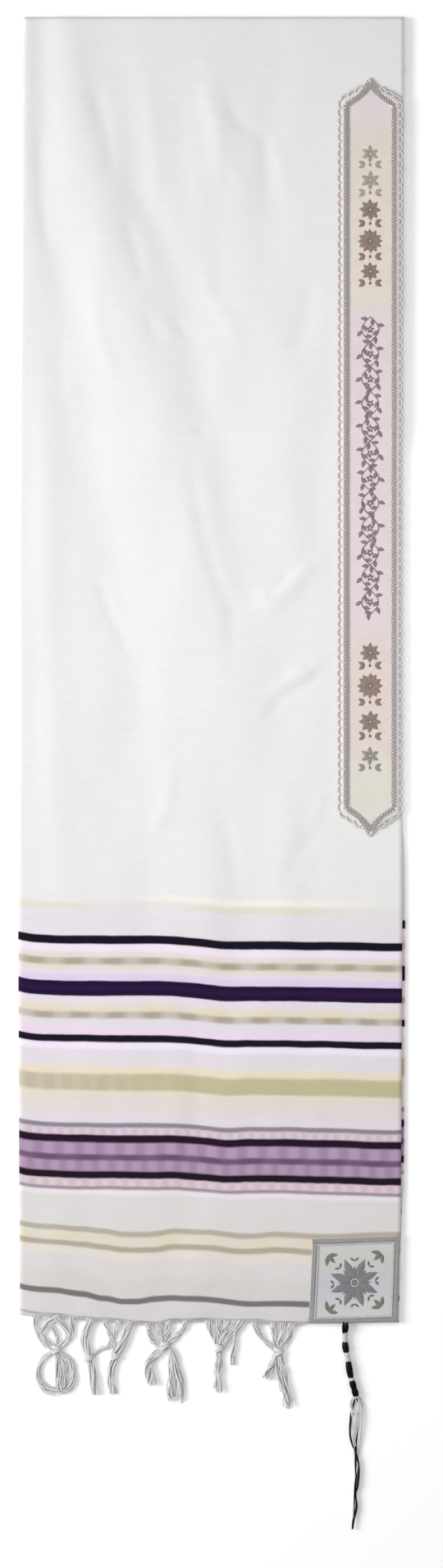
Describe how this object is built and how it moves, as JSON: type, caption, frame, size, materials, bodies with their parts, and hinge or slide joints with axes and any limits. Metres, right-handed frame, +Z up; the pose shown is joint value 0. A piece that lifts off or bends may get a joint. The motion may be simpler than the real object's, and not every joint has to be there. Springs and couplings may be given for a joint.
{
  "type": "tallit prayer shawl",
  "caption": "Long woven prayer shawl with coloured stripes, an embroidered neckband, a corner patch and knotted fringe, folded and lying flat.",
  "frame": {"origin": "middle of the footprint of the folded shawl with its corner tassel, on the surface that it lies on", "axes": "+X to the right edge, which the neckband runs along, +Y towards the top fold, +Z up off the surface"},
  "size_m": [0.4088, 1.598, 0.0126],
  "materials": {
    "cloth": "fine plain weave, white, soft sheen, woven stripes near the hem",
    "neckband": "satin weave, pale lilac to beige, with stitched motifs",
    "neckband_braid": "zigzag stitched braid, grey-brown",
    "patch": "satin weave, pale grey, with a stitched rosette",
    "patch_border": "dense stitching, grey",
    "fringe": "twisted yarn, off white",
    "tassel": "wound and knotted yarn, black and white"
  },
  "bodies": {
    "root": {"shawl_front": "cloth", "folded_layers": "cloth", "neckband": "neckband", "neckband_braid": "neckband_braid", "corner_patch": "patch", "patch_border": "patch_border", "fringe": "fringe", "corner_tassel": "tassel"}
  },
  "joints": []
}
